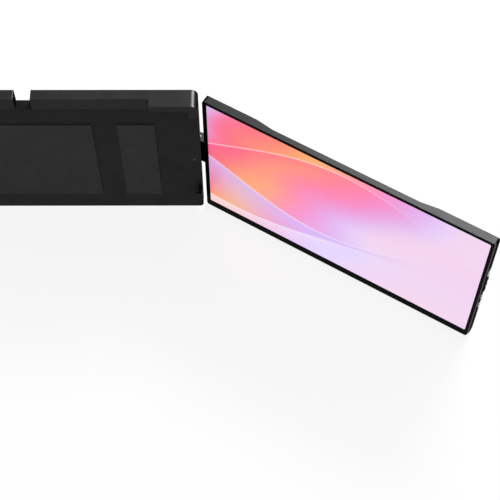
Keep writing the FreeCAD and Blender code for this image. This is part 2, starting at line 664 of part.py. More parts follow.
def build_guides():
    lower = "(cross_low - gap - bearer_thick)"
    upper = "(%s + spring_long)" % CROSS_TOP
    for word, side in SIDES:
        middle = mirrored(side, ROD_X)
        low_bearer = rod_bearer("low_bearer_" + word, middle, lower)
        deliver("low_bearer_" + word, low_bearer)
        high_bearer = rod_bearer("high_bearer_" + word, middle, upper)
        deliver("high_bearer_" + word, high_bearer)
        guide = rod("guide_rod_" + word, "Z", (middle, "rod_level", lower), "rod_radius",
                    "%s + bearer_thick - %s" % (upper, lower))
        deliver("guide_rod_" + word, guide)
        runner_body = block("runner_block_" + word,
                            ("(%s - runner_wide / 2)" % middle, "(%s + runner_wide / 2)" % middle),
                            (LEG_BACK, SHELL_INNER + " - gap"), ("cross_low", CROSS_TOP))
        runner_bore = rod("runner_bore_" + word, "Z", (middle, "rod_level", "cross_low"),
                          "rod_radius + rod_running", "cross_tall")
        deliver("runner_" + word, cut("runner_" + word, runner_body, runner_bore))
        coil = rod("spring_outer_" + word, "Z", (middle, "rod_level", CROSS_TOP),
                   "rod_radius + spring_room + spring_wire", "spring_long")
        inside = rod("spring_inner_" + word, "Z", (middle, "rod_level", CROSS_TOP),
                     "rod_radius + spring_room", "spring_long")
        deliver("clamp_spring_" + word, cut("clamp_spring_" + word, coil, inside))


# Sliding clamp: steel carriage, hook bars and liners

def hook_screw_spots():
    across = ("(%s + leg_wide * 0.25)" % LEG_FROM, "(%s + leg_wide * 0.75)" % LEG_FROM)
    up = "(%s + leg_into_bar / 2)" % BAR_LOW
    return [(mirrored(side, place), up) for word, side in SIDES for place in across]


def build_carriage():
    body = new_body("clamp_carriage")
    corners = [("-" + LEG_TO, "cross_low"), (LEG_TO, "cross_low"), (LEG_TO, LEG_TOP), (LEG_FROM, LEG_TOP),
               (LEG_FROM, CROSS_TOP), ("-" + LEG_FROM, CROSS_TOP), ("-" + LEG_FROM, LEG_TOP),
               ("-" + LEG_TO, LEG_TOP)]
    sketch = outline(body, "carriage_outline", "XZ_Plane", LEG_FRONT, corners)
    grow(body, sketch, "XZ_Plane", "leg_thick")
    drill(body, "carriage_holes", hook_screw_spots(), "screw_radius + pin_press", (LEG_FRONT, LEG_BACK))
    deliver("clamp_carriage", body)


def build_hook_bar(word, side):
    body = new_body("hook_bar_" + word)
    lip_back = "(lip_thick - hook_reach)"
    web_low = "(%s - web_thick)" % BAR_TOP
    ear_in = "(frame_half - ear_wide)"
    ear_low = "(%s - ear_tall)" % BAR_TOP
    slab(body, "bar_main_" + word, mirrored_pair(side, "notch_half", "frame_half"), ("0", "frame_depth"),
         (BAR_LOW, BAR_TOP))
    slab(body, "bar_web_" + word, mirrored_pair(side, HOOK_FROM, "frame_half"), ("-hook_reach", "0"),
         (web_low, BAR_TOP))
    slab(body, "bar_lip_" + word, mirrored_pair(side, HOOK_FROM, "frame_half"), ("-hook_reach", lip_back),
         ("(%s - lip_tall)" % BAR_TOP, BAR_TOP))
    slab(body, "bar_ear_front_" + word, mirrored_pair(side, ear_in, "frame_half"), ("-hook_reach", lip_back),
         (ear_low, BAR_TOP))
    slab(body, "bar_ear_side_" + word, mirrored_pair(side, GUARD_IN, "frame_half"), ("-hook_reach", "0"),
         (ear_low, BAR_TOP))
    outer = mirrored(side, "frame_half")
    dress(body, "Fillet", "bar_end_" + word, "bar_corner",
          lambda edge: is_along(edge, "Y") and in_plane(edge, "X", outer) and in_plane(edge, "Z", BAR_TOP))
    dress(body, "Fillet", "bar_root_" + word, "hook_inner",
          lambda edge: is_along(edge, "Z") and in_plane(edge, "X", mirrored(side, HOOK_FROM))
          and in_plane(edge, "Y", "0"))
    dress(body, "Fillet", "bar_edges_" + word, "bar_edge",
          lambda edge: in_plane(edge, "Z", BAR_TOP) and (in_plane(edge, "Y", "-hook_reach")
          or in_plane(edge, "Y", "frame_depth") or in_plane(edge, "X", mirrored(side, "notch_half"))))
    hollow(body, "bar_pocket_" + word, mirrored_pair(side, LEG_FROM + " - seat_gap", LEG_TO + " + seat_gap"),
           (LEG_FRONT + " - seat_gap", LEG_BACK + " + seat_gap"), (BAR_LOW, LEG_TOP + " + seat_gap"))
    spots = [spot for spot in hook_screw_spots() if (number(spot[0]) > 0) == (side > 0)]
    drill(body, "bar_shank_" + word, spots, "screw_radius + seat_gap",
          (LEG_BACK, "frame_depth"))
    drill(body, "bar_head_" + word, spots, "screw_head + seat_gap",
          ("frame_depth - screw_head_tall", "frame_depth"))
    deliver("hook_bar_" + word, body)


def build_clamp():
    build_carriage()
    for word, side in SIDES:
        build_hook_bar(word, side)
        web_low = "(%s - web_thick)" % BAR_TOP
        under = block("liner_under_" + word,
                      mirrored_pair(side, "(%s + hook_inner)" % HOOK_FROM, "(%s - liner_thick)" % GUARD_IN),
                      ("(lip_thick - hook_reach)", "0"), ("(%s - liner_thick)" % web_low, web_low))
        inside = block("liner_lip_" + word,
                       mirrored_pair(side, "(%s + hook_inner)" % HOOK_FROM, "(%s - liner_thick)" % GUARD_IN),
                       ("(lip_thick - hook_reach)", "(lip_thick + liner_thick - hook_reach)"),
                       ("(%s - lip_tall)" % BAR_TOP, web_low))
        deliver("hook_liner_" + word, fuse("hook_liner_" + word, under, inside))


# Hinge: fixed leaf, moving arm, pin and washers

def leaf_screw_spots():
    inner = "(frame_half - leaf_inset - leaf_wide * 0.85)"
    outer = "(frame_half - leaf_inset - leaf_wide * 0.45)"
    low = "(hinge_low + (hinge_high - hinge_low) * 0.15)"
    high = "(hinge_low + (hinge_high - hinge_low) * 0.85)"
    return [(x, z) for x in (inner, outer) for z in (low, high)]


def build_hinge_leaf():
    body = new_body("hinge_leaf")
    edge_x = "(frame_half - leaf_inset)"
    slab(body, "leaf_plate", ("(%s - leaf_wide)" % edge_x, edge_x),
         ("frame_depth", "(frame_depth + leaf_thick)"),
         ("hinge_low", "hinge_high"))
    dress(body, "Fillet", "leaf_corners", "leaf_thick", lambda edge: is_along(edge, "Y"))
    web_left = "(%s - knuckle_radius)" % AXIS_X
    root = "(frame_depth + leaf_thick / 2)"
    web = [(web_left, root), (edge_x, root),
           ("(%s + knuckle_radius * 0.5)" % AXIS_X, "(%s - knuckle_radius * 0.85)" % AXIS_Y),
           (AXIS_X, AXIS_Y), (web_left, AXIS_Y)]
    sketch = outline(body, "leaf_web", "XY_Plane", FIXED_LOW, web)
    grow(body, sketch, "XY_Plane", "fixed_tall")
    knuckle = circles(body, "leaf_knuckle", "XY_Plane", FIXED_LOW, [(AXIS_X, AXIS_Y)], "knuckle_radius")
    grow(body, knuckle, "XY_Plane", "fixed_tall")
    bore = circles(body, "leaf_bore", "XY_Plane", FIXED_LOW, [(AXIS_X, AXIS_Y)], "pin_radius + pin_running")
    carve(body, bore, "XY_Plane", "fixed_tall")
    drill(body, "leaf_holes", leaf_screw_spots(), "screw_radius + seat_gap",
          ("frame_depth", "(frame_depth + leaf_thick)"))
    deliver("hinge_leaf", body)


def arm_screw_spots():
    near_x = "(panel_from + back_wall + arm_long * 0.3)"
    far_x = "(panel_from + back_wall + arm_long * 0.85)"
    low = "(hinge_low + arm_inset + (hinge_high - hinge_low) * 0.15)"
    high = "(hinge_high - arm_inset - (hinge_high - hinge_low) * 0.15)"
    return [(x, z) for x in (near_x, far_x) for z in (low, high)]


def build_hinge_arm():
    body = new_body("hinge_arm")
    reach = "(panel_from - seat_gap)"
    block_outline = [("0", "-knuckle_radius"), (reach, "-knuckle_radius"), (reach, "knuckle_radius"),
                     ("0", "knuckle_radius")]
    sketch = outline(body, "arm_block", "XY_Plane", "hinge_low", block_outline)
    grow(body, sketch, "XY_Plane", "hinge_high - hinge_low")
    round_end = circles(body, "arm_round", "XY_Plane", "hinge_low", [("0", "0")], "knuckle_radius")
    grow(body, round_end, "XY_Plane", "hinge_high - hinge_low")
    slab(body, "arm_plate", ("0", "(panel_from + back_wall + arm_long)"),
         (THICK_INNER + " - arm_thick", THICK_INNER), ("hinge_low + arm_inset", "hinge_high - arm_inset"))
    slot = ("-(knuckle_radius + gap)", "(knuckle_radius + gap)")
    slot_sketch = rectangle(body, "arm_slot", "XY_Plane", SLOT_LOW, slot, slot)
    carve(body, slot_sketch, "XY_Plane", "(%s) - (%s)" % (SLOT_HIGH, SLOT_LOW))
    bore = circles(body, "arm_bore", "XY_Plane", "hinge_low", [("0", "0")], "pin_radius + pin_press")
    carve(body, bore, "XY_Plane", "hinge_high - hinge_low")
    drill(body, "arm_holes", arm_screw_spots(), "screw_radius + seat_gap",
          (THICK_INNER + " - arm_thick", THICK_INNER))
    dress(body, "Chamfer", "arm_ends", "pad_sunk",
          lambda edge: (in_plane(edge, "Z", "hinge_low") or in_plane(edge, "Z", "hinge_high"))
          and edge.BoundBox.DiagonalLength > 2 * number("pin_radius + pin_press") * 1.5)
    deliver("hinge_arm", body, in_panel=True)


def build_arm_screws():
    """Short screws from inside the panel, through the arm plate into the back cover."""
    face = "(%s - arm_thick - screw_head_tall)" % THICK_INNER
    screws = [screw("arm_screw_%d" % i, "Y", (x, face, z), -1, "(arm_thick + back_wall / 2)")
              for i, (x, z) in enumerate(arm_screw_spots())]
    deliver("arm_screws", group("arm_screws", screws), in_panel=True)


def build_pin_and_washers():
    pin = rod("pin_rod", "Z", ("0", "0", "hinge_low + pad_sunk"), "pin_radius",
              "hinge_high - hinge_low - 2 * pad_sunk")
    deliver("hinge_pin", fuse_one("hinge_pin", pin), in_panel=True)
    rings = []
    rows = (("upper", "(%s + seat_gap)" % FIXED_HIGH),
            ("lower", "(%s - washer_thick - seat_gap)" % FIXED_LOW))
    for word, low in rows:
        disc = rod("washer_disc_" + word, "Z", ("0", "0", low), "knuckle_radius - seat_gap", "washer_thick")
        hole = rod("washer_hole_" + word, "Z", ("0", "0", low), "pin_radius + seat_gap", "washer_thick")
        rings.append(cut("washer_" + word, disc, hole))
    deliver("friction_washers", group("friction_washers", rings), in_panel=True)


def fuse_one(name, piece):
    """A single primitive wrapped so that its own placement stays apart from the panel's."""
    result = doc.addObject("Part::Compound", name)
    result.Links = [piece]
    return result


# Panel: back cover, bezel, display sheet and tray

def port_rows():
    """Name, height, width and thickness of each port, top down."""
    return (("video_port", "video_height", "video_wide", "video_thick"),
            ("usb_port_upper", "usb_upper", "usb_wide", "usb_thick"),
            ("usb_port_lower", "usb_lower", "usb_wide", "usb_thick"))


def button_rows():
    return (("button_upper", "(button_middle + button_pitch)"), ("button_centre", "button_middle"),
            ("button_lower", "(button_middle - button_pitch)"))


def panel_screw_spots():
    near_x = "(panel_from + near_zone * 0.16)"
    far_x = "(%s - far_zone * 0.16)" % PANEL_TO
    low = "(%s + near_zone * 0.16)" % PANEL_LOW
    high = "(%s - near_zone * 0.16)" % PANEL_TOP
    return [(x, z) for x in (near_x, far_x) for z in (low, high)]


def back_profile(inset, front):
    """The back cover's section, drawn along the panel: thick ends, ramps and a thin middle."""
    far = PANEL_TO
    points = [("(panel_from + %s)" % inset, front),
              ("(panel_from + %s)" % inset, "(%s - %s)" % (THICK_BACK, inset)),
              ("(panel_from + near_zone)", "(%s - %s)" % (THICK_BACK, inset)),
              ("(panel_from + near_zone + ramp_long)", "(%s - %s)" % (THIN_BACK, inset)),
              ("(%s - far_zone - ramp_long)" % far, "(%s - %s)" % (THIN_BACK, inset)),
              ("(%s - far_zone)" % far, "(%s - %s)" % (THICK_BACK, inset))]
    if inset == "0":
        points += [(SIDE_OUT, THICK_BACK), (SIDE_OUT, "(%s + flare_level)" % BEZEL_BACK), (far, front)]
    else:
        inner = "(%s - %s)" % (far, inset)
        points += [(inner, "(%s - %s)" % (THICK_BACK, inset)), (inner, front)]
    return points


def build_back_cover():
    body = new_body("back_cover")
    sketch = outline(body, "back_outer", "XY_Plane", PANEL_LOW, back_profile("0", BEZEL_BACK))
    grow(body, sketch, "XY_Plane", "(%s) - (%s)" % (PANEL_TOP, PANEL_LOW))
    dress(body, "Fillet", "back_upper_corner", "back_corner",
          lambda edge: in_plane(edge, "X", SIDE_OUT) and in_plane(edge, "Z", PANEL_TOP))
    dress(body, "Fillet", "back_lower_corner", "back_corner_low",
          lambda edge: in_plane(edge, "X", SIDE_OUT) and in_plane(edge, "Z", PANEL_LOW))
    dress(body, "Fillet", "back_near_corners", "bezel_corner",
          lambda edge: in_plane(edge, "X", "panel_from") and is_along(edge, "Y"))
    room = outline(body, "back_room", "XY_Plane", PANEL_LOW + " + back_wall",
                   back_profile("back_wall", BEZEL_BACK))
    carve(body, room, "XY_Plane", "%s - %s - 2 * back_wall" % (PANEL_TOP, PANEL_LOW))
    bosses = circles(body, "screw_bosses", "XZ_Plane", TRAY_BACK + " + seat_gap", panel_screw_spots(),
                     "screw_head + screw_radius")
    grow(body, bosses, "XZ_Plane", "%s - %s - seat_gap" % (THICK_INNER, TRAY_BACK))
    drill(body, "panel_head_holes", panel_screw_spots(), "screw_head + seat_gap",
          (THICK_BACK + " - screw_head_tall", THICK_BACK))
    drill(body, "panel_shank_holes", panel_screw_spots(), "screw_radius + pin_press",
          (TRAY_BACK + " + seat_gap", THICK_BACK))
    hollow(body, "arm_opening", ("panel_from", "(panel_from + back_wall)"),
           (THICK_INNER + " - arm_thick - seat_gap", THICK_INNER),
           ("hinge_low + arm_inset - seat_gap", "hinge_high - arm_inset + seat_gap"))
    drill(body, "arm_pilot_holes", arm_screw_spots(), "screw_radius + pin_press",
          (THICK_INNER, THICK_INNER + " + back_wall / 2"))
    for name, height, wide, thick in port_rows():
        middle = "(port_level - panel_ahead)"
        deep = ("%s - %s / 2 - seat_gap" % (middle, thick), "%s + %s / 2 + seat_gap" % (middle, thick))
        up = ("%s - %s / 2 - seat_gap" % (height, wide), "%s + %s / 2 + seat_gap" % (height, wide))
        sketch = rectangle(body, name + "_opening", "YZ_Plane", SIDE_OUT, deep, up)
        carve(body, sketch, "YZ_Plane", "flare + back_wall", toward=-1)
    for name, height in button_rows():
        middle = "(button_level - panel_ahead)"
        sketch = rectangle(body, name + "_opening", "YZ_Plane", SIDE_OUT,
                           (middle + " - button_thick / 2 - button_gap",
                            middle + " + button_thick / 2 + button_gap"),
                           (height + " - button_tall / 2 - button_gap",
                            height + " + button_tall / 2 + button_gap"))
        carve(body, sketch, "YZ_Plane", "flare + back_wall", toward=-1)
    deliver("back_cover", body, in_panel=True)


def build_bezel():
    body = new_body("front_bezel")
    slab(body, "bezel_plate", ("panel_from", PANEL_TO), (PANEL_FRONT, BEZEL_BACK), (PANEL_LOW, PANEL_TOP))
    dress(body, "Fillet", "bezel_corners", "bezel_corner", lambda edge: is_along(edge, "Y"))
    dress(body, "Chamfer", "bezel_edge", "glass_sunk", lambda edge: in_plane(edge, "Y", PANEL_FRONT))
    opening_to = "(%s + display_wide)" % DISPLAY_FROM
    hollow(body, "bezel_opening", (DISPLAY_FROM, opening_to), (PANEL_FRONT, BEZEL_BACK),
           (DISPLAY_LOW, "(%s + display_tall)" % DISPLAY_LOW))
    dress(body, "Fillet", "bezel_opening_corners", "opening_corner",
          lambda edge: is_along(edge, "Y")
          and (in_plane(edge, "X", DISPLAY_FROM) or in_plane(edge, "X", opening_to)))
    deliver("front_bezel", body, in_panel=True)


def build_display():
    sheet_across = ("(%s + glass_gap)" % DISPLAY_FROM, "(%s + display_wide - glass_gap)" % DISPLAY_FROM)
    sheet_up = ("(%s + glass_gap)" % DISPLAY_LOW, "(%s + display_tall - glass_gap)" % DISPLAY_LOW)
    glass = new_body("display_sheet")
    slab(glass, "display_glass", sheet_across, (GLASS_FRONT, GLASS_BACK), sheet_up)
    dress(glass, "Fillet", "display_corners", "opening_corner", lambda edge: is_along(edge, "Y"))
    deliver("display_sheet", glass, in_panel=True)
    tray = block("tray_block",
                 ("(%s - tray_lap)" % DISPLAY_FROM, "(%s + display_wide + tray_lap)" % DISPLAY_FROM),
                 (GLASS_BACK, TRAY_BACK),
                 ("(%s - tray_lap)" % DISPLAY_LOW, "(%s + display_tall + tray_lap)" % DISPLAY_LOW))
    deliver("display_tray", fuse_one("display_tray", tray), in_panel=True)


# Panel: boards, ports and buttons

# Each chip's left, right, lower and upper edge as shares of the main board
CHIP_SHARES = (("0.12", "0.38", "0.10", "0.28"),
               ("0.55", "0.85", "0.35", "0.52"),
               ("0.20", "0.50", "0.66", "0.86"))


def build_boards():
    timing = block("timing_block",
                   ("(panel_from + near_zone + 2 * ramp_long)", "(%s - far_zone - 2 * ramp_long)" % PANEL_TO),
                   ("(%s + seat_gap)" % TRAY_BACK, "(%s + seat_gap + board_thick)" % TRAY_BACK),
                   (DISPLAY_LOW, "(%s + bezel_foot)" % DISPLAY_LOW))
    deliver("timing_board", fuse_one("timing_board", timing), in_panel=True)
    board_back = "(%s - seat_gap)" % THICK_INNER
    edge = BOARD_EDGE
    start = "(%s - far_zone + back_wall)" % PANEL_TO
    board = block("main_board_block", (start, edge), ("(%s - board_thick)" % board_back, board_back),
                  ("board_low", "board_high"))
    chips = []
    wide = "(%s - %s)" % (edge, start)
    tall = "(board_high - board_low)"
    for i, (left, right, low, high) in enumerate(CHIP_SHARES):
        chips.append(block("chip_%d" % i,
                           ("(%s + %s * %s)" % (start, wide, left), "(%s + %s * %s)" % (start, wide, right)),
                           ("(%s - 2 * board_thick)" % board_back, "(%s - board_thick)" % board_back),
                           ("(board_low + %s * %s)" % (tall, low), "(board_low + %s * %s)" % (tall, high))))
    deliver("main_board", fuse("main_board", board, *chips), in_panel=True)


def build_ports():
    for name, height, wide, thick in port_rows():
        middle = "(port_level - panel_ahead)"
        front = "(%s - port_sunk)" % SIDE_OUT
        back = "(%s - port_deep)" % front
        body = new_body(name)
        shell = rectangle(body, name + "_outer", "YZ_Plane", back,
                          ("%s - %s / 2" % (middle, thick), "%s + %s / 2" % (middle, thick)),
                          ("%s - %s / 2" % (height, wide), "%s + %s / 2" % (height, wide)))
        grow(body, shell, "YZ_Plane", "port_deep")
        round_share = "0.45" if name.startswith("usb") else "0.2"
        dress(body, "Fillet", name + "_round", "%s * %s" % (thick, round_share),
              lambda edge: is_along(edge, "X"))
        room = rectangle(body, name + "_room", "YZ_Plane", front,
                         ("%s - %s / 2 + port_wall" % (middle, thick),
                          "%s + %s / 2 - port_wall" % (middle, thick)),
                         ("%s - %s / 2 + 2 * port_wall" % (height, wide),
                          "%s + %s / 2 - 2 * port_wall" % (height, wide)))
        carve(body, room, "YZ_Plane", "port_deep - 2 * port_wall", toward=-1)
        tongue = rectangle(body, name + "_tongue", "YZ_Plane", "%s + port_wall" % back,
                           (middle + " - port_wall", middle + " + port_wall"),
                           ("%s - %s / 2 + 4 * port_wall" % (height, wide),
                            "%s + %s / 2 - 4 * port_wall" % (height, wide)))
        grow(body, tongue, "YZ_Plane", "port_deep - 4 * port_wall")
        deliver(name, body, in_panel=True)


def build_buttons():
    middle = "(button_level - panel_ahead)"
    flange_back = "(%s - button_flange - gap)" % SIDE_IN
    switches = []
    for name, height in button_rows():
        switches.append(block(name + "_switch", (BOARD_EDGE, "(%s - button_travel - seat_gap)" % flange_back),
                              ("(%s - button_thick / 2)" % middle, "(%s + button_thick / 2)" % middle),
                              ("(%s - button_tall / 2)" % height, "(%s + button_tall / 2)" % height)))
        cap = block(name + "_cap", (flange_back, "(%s + button_proud)" % SIDE_OUT),
                    ("(%s - button_thick / 2)" % middle, "(%s + button_thick / 2)" % middle),
                    ("(%s - button_tall / 2)" % height, "(%s + button_tall / 2)" % height))
        flange = block(name + "_flange", (flange_back, "(%s - gap)" % SIDE_IN),
                       ("(%s - button_thick / 2)" % middle, "(%s + button_thick / 2)" % middle),
                       ("(%s - button_tall / 2 - button_flange)" % height,
                        "(%s + button_tall / 2 + button_flange)" % height))
        deliver(name, fuse(name, cap, flange), in_panel=True)
    deliver("button_switches", group("button_switches", switches), in_panel=True)


def build_panel_trim():
    bumpers = []
    rows = (("upper", "(panel_middle + display_tall * 0.36)"),
            ("lower", "(panel_middle - display_tall * 0.36)"))
    bumper_from = "(%s - far_zone * 0.75)" % PANEL_TO
    for word, height in rows:
        bumpers.append(block("bumper_" + word, (bumper_from, "(%s + bumper_long)" % bumper_from),
                             (THICK_BACK, "(%s + bumper_thick)" % THICK_BACK),
                             ("(%s - bumper_wide / 2)" % height, "(%s + bumper_wide / 2)" % height)))
    deliver("panel_bumpers", group("panel_bumpers", bumpers), in_panel=True)
    boss_long = "(%s - screw_head_tall - %s - gap)" % (THICK_BACK, TRAY_BACK)
    backs = [screw("panel_screw_%d" % i, "Y", (x, THICK_BACK, z), 1, boss_long)
             for i, (x, z) in enumerate(panel_screw_spots())]
    deliver("panel_screws", group("panel_screws", backs), in_panel=True)


def build_all():
    build_front_plate()
    build_back_shell()
    build_lid_pads()
    build_feet()
    build_corner_guards()
    build_mechanism_cover()
    build_guides()
    build_clamp()
    build_hinge_leaf()
    build_screws()
    build_hinge_arm()
    build_arm_screws()
    build_pin_and_washers()
    build_back_cover()
    build_bezel()
    build_display()
    build_boards()
    build_ports()
    build_buttons()
    build_panel_trim()


def check_and_write():
    doc.recompute()
    for obj in doc.Objects:
        if "Invalid" in obj.State or "Error" in obj.State:
            raise ValueError("failed object: " + obj.Label)
    for obj in SUBPARTS:
        if obj.Shape.isNull() or not obj.Shape.isValid() or not obj.Shape.Solids:
            raise ValueError("bad shape: " + obj.Label)
    os.makedirs("parts", exist_ok=True)
    for obj in SUBPARTS:
        obj.Shape.exportStep("parts/%s.step" % obj.Label)
        box = obj.Shape.BoundBox
        print("%-20s solids %d  volume %.1f  X %.1f..%.1f  Y %.1f..%.1f  Z %.1f..%.1f" % (
            obj.Label, len(obj.Shape.Solids), obj.Shape.Volume,
            box.XMin, box.XMax, box.YMin, box.YMax, box.ZMin, box.ZMax))
    print("sub-parts", len(SUBPARTS))


build_all()
check_and_write()
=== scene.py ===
import json
import math

import bmesh
import bpy
from mathutils import Matrix, Vector


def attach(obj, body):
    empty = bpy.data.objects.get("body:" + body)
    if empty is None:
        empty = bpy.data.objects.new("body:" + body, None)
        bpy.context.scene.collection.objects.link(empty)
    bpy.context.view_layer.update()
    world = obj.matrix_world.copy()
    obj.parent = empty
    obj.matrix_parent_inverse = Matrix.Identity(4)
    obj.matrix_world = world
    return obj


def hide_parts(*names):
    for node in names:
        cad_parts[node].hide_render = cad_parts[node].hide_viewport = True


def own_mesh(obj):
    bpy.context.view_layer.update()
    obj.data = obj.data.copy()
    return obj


# Dressing of a clip-on screen extender, in metres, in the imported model's frame:
# X to the user's right, Y away from the user, Z up along the frame.

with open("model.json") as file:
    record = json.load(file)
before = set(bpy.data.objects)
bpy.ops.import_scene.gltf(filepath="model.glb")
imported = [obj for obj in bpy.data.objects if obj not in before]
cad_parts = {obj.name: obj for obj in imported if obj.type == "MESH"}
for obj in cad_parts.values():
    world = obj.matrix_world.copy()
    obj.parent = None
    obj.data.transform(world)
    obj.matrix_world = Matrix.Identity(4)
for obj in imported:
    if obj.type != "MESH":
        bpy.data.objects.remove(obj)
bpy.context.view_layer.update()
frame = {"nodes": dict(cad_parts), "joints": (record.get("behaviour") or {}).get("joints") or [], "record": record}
nodes = frame["nodes"]
joints = {joint["name"]: joint for joint in frame["joints"]}

RIGHT = Vector((1.0, 0.0, 0.0))
BACK = Vector((0.0, 1.0, 0.0))
UP = Vector((0.0, 0.0, 1.0))


def span(points, direction):
    """The lowest and highest reach of some points along a direction."""
    reaches = [point.dot(direction) for point in points]
    return min(reaches), max(reaches)


def corners_of(name, origin=(0.0, 0.0, 0.0)):
    """A node's mesh corners, measured from an origin."""
    return [vertex.co - Vector(origin) for vertex in nodes[name].data.vertices]


SWING = math.radians(31.0)                       # panel's swing towards the user at rest
HINGE = Vector(joints["panel_swing"]["pos_m"])   # a point on the hinge axis, level with the model's origin
ALONG = Vector((math.cos(SWING), -math.sin(SWING), 0.0))   # along the panel, away from the hinge
OUT_BACK = Vector((math.sin(SWING), math.cos(SWING), 0.0))  # out of the panel's back
PANEL_FROM, PANEL_TO = span(corners_of("back_cover", HINGE), ALONG)   # outer faces of its two ends
NEAR_SHADE_STRIP = 0.0026                              # widths of the strips of painted shade at the two ends
FAR_SHADE_STRIP = 0.0017
HIGHLIGHT_BAND_STOP = -0.0040                             # where the painted highlight band at the far end stops, in depth
STRIP_BLUR = 0.0003                              # soft edge of the painted shade strips and of the highlight band
DISPLAY_FROM = 0.0132                            # lit area's near edge from the hinge axis
DISPLAY_WIDE = 0.2938
DISPLAY_TALL = 0.1652
DISPLAY_LOW = -0.08245
FLOOR_LEVEL = -0.0927                            # just under the panel's lower edge


# Node trees

BEVEL_SAMPLES = 4
NOISE_BAND = (0.3, 0.7)        # most of a noise's values
NOISE_MIDDLE = (0.25, 0.75)
EDGE_MATCH = (0.80, 0.99)      # how well two normals match at an edge, and on a flat


class Tree:
    """A short way to lay shader nodes and join them."""

    def __init__(self, name):
        self.material = bpy.data.materials.new(name)
        self.material.use_nodes = True
        self.tree = self.material.node_tree
        self.shader = self.tree.nodes["Principled BSDF"]
        self.output = self.tree.nodes["Material Output"]

    def node(self, kind, settings=None, **inputs):
        """A node of a kind. Settings are attributes. Inputs go by socket name, or by number as i0, i1."""
        made = self.tree.nodes.new(kind)
        for name, value in (settings or {}).items():
            setattr(made, name, value)
        for name, value in inputs.items():
            key = int(name[1:]) if name[0] == "i" and name[1:].isdigit() else name.replace("_", " ")
            self.feed(made.inputs[key], value)
        return made

    def feed(self, socket, value):
        """Joins a socket to another one's value, or sets it to a plain value."""
        if isinstance(value, bpy.types.NodeSocket):
            self.tree.links.new(value, socket)
        else:
            socket.default_value = value

    def set(self, **inputs):
        """Sets inputs of the surface shader."""
        for name, value in inputs.items():
            self.feed(self.shader.inputs[name.replace("_", " ")], value)

    def math(self, operation, a, b=0.0, c=0.0):
        return self.node("ShaderNodeMath", {"operation": operation}, i0=a, i1=b, i2=c).outputs[0]

    def dot(self, vector, direction):
        made = self.node("ShaderNodeVectorMath", {"operation": "DOT_PRODUCT"}, i0=vector, i1=direction)
        return made.outputs["Value"]

    def spot(self):
        """Object coordinates, which are the model's own frame at rest."""
        return self.node("ShaderNodeTexCoord").outputs["Object"]

    def spot_from(self, place):
        """Object coordinates, measured from a place."""
        made = self.node("ShaderNodeVectorMath", {"operation": "SUBTRACT"}, i0=self.spot(), i1=place)
        return made.outputs[0]

    def noise(self, scale, detail=2.0, rough=0.5, vector=None):
        """Noise with a scale in blots per unit of its vector, which is the object's metre as a rule."""
        made = self.node("ShaderNodeTexNoise", None, Scale=scale, Detail=detail, Roughness=rough)
        self.feed(made.inputs["Vector"], vector or self.spot())
        return made.outputs["Fac"]

    def remap(self, value, source, target=(0.0, 1.0)):
        """A value's source range laid over the target range, and held inside it."""
        made = self.node("ShaderNodeMapRange", {"clamp": True}, Value=value, From_Min=source[0],
                         From_Max=source[1], To_Min=target[0], To_Max=target[1])
        return made.outputs[0]

    def mix(self, share, first, second):
        """Two colours mixed: the share is the second one's."""
        made = self.node("ShaderNodeMix", {"data_type": "RGBA", "blend_type": "MIX"})
        self.feed(made.inputs["Factor"], share)
        self.feed(made.inputs["A"], first)
        self.feed(made.inputs["B"], second)
        return [out for out in made.outputs if out.type == "RGBA"][0]

    def bump(self, height, distance, strength, normal=None):
        made = self.node("ShaderNodeBump", None, Height=height, Distance=distance, Strength=strength)
        if normal is not None:
            self.feed(made.inputs["Normal"], normal)
        return made.outputs[0]


def rgb(red, green, blue):
    return (red, green, blue, 1.0)


def screen_rgb(red, green, blue):
    """A colour given as it shows on a screen, 0 to 255, as the shader's linear values."""
    def linear(value):
        value /= 255.0
        return value / 12.92 if value <= 0.04045 else ((value + 0.055) / 1.055) ** 2.4
    return rgb(linear(red), linear(green), linear(blue))


def tone(colour, factor):
    """A colour made darker or lighter."""
    return tuple(min(1.0, channel * factor) for channel in colour[:3]) + (1.0,)


def toned(tree, share, colour, dark, light):
    """A colour that goes from a darker to a lighter tone of itself as the share goes from 0 to 1."""
    return tree.mix(share, tone(colour, dark), tone(colour, light))


def soft_normal(tree, radius):
    """The surface's normal, turned near the edges as if they were rounded to a radius."""
    return tree.node("ShaderNodeBevel", {"samples": BEVEL_SAMPLES}, Radius=radius).outputs[0]


def edge_mask(tree, soft):
    """Near 1 along a piece's edges, where the soft normal leaves the true one, and 0 on its flats."""
    true = tree.node("ShaderNodeNewGeometry").outputs["Normal"]
    return tree.remap(tree.dot(soft, true), EDGE_MATCH, (1.0, 0.0))


# Materials

def moulded(name, colour, rough, grain=0.00035, depth=0.00002, edge=0.0003, wear_and_highlight=1.5):
    """Moulded plastic with a fine spark-eroded grain, a little dust, and edges lightened as rubbed wear and as a
    painted highlight.
    """
    tree = Tree(name)
    soft = soft_normal(tree, edge)
    pits = tree.noise(1.0 / grain, detail=3.0, rough=0.7)
    clouds = tree.noise(18.0, detail=3.0)
    smudges = tree.noise(45.0, detail=4.0)
    shade = toned(tree, tree.remap(clouds, NOISE_BAND), colour, dark=0.88, light=1.12)
    shade = tree.mix(tree.remap(pits, (0.55, 0.75), (0.0, 0.35)), shade, tone(colour, 1.5))
    # edges lightened: partly rubbed wear, partly a painted highlight
    shade = tree.mix(tree.math("MULTIPLY", edge_mask(tree, soft), 0.6), shade, tone(colour, wear_and_highlight))
    tree.set(Base_Color=shade, Specular_IOR_Level=0.06,
             Roughness=tree.remap(smudges, NOISE_MIDDLE, (rough - 0.06, rough + 0.08)),
             Normal=tree.bump(pits, distance=depth, strength=0.7, normal=soft))
    return tree.material


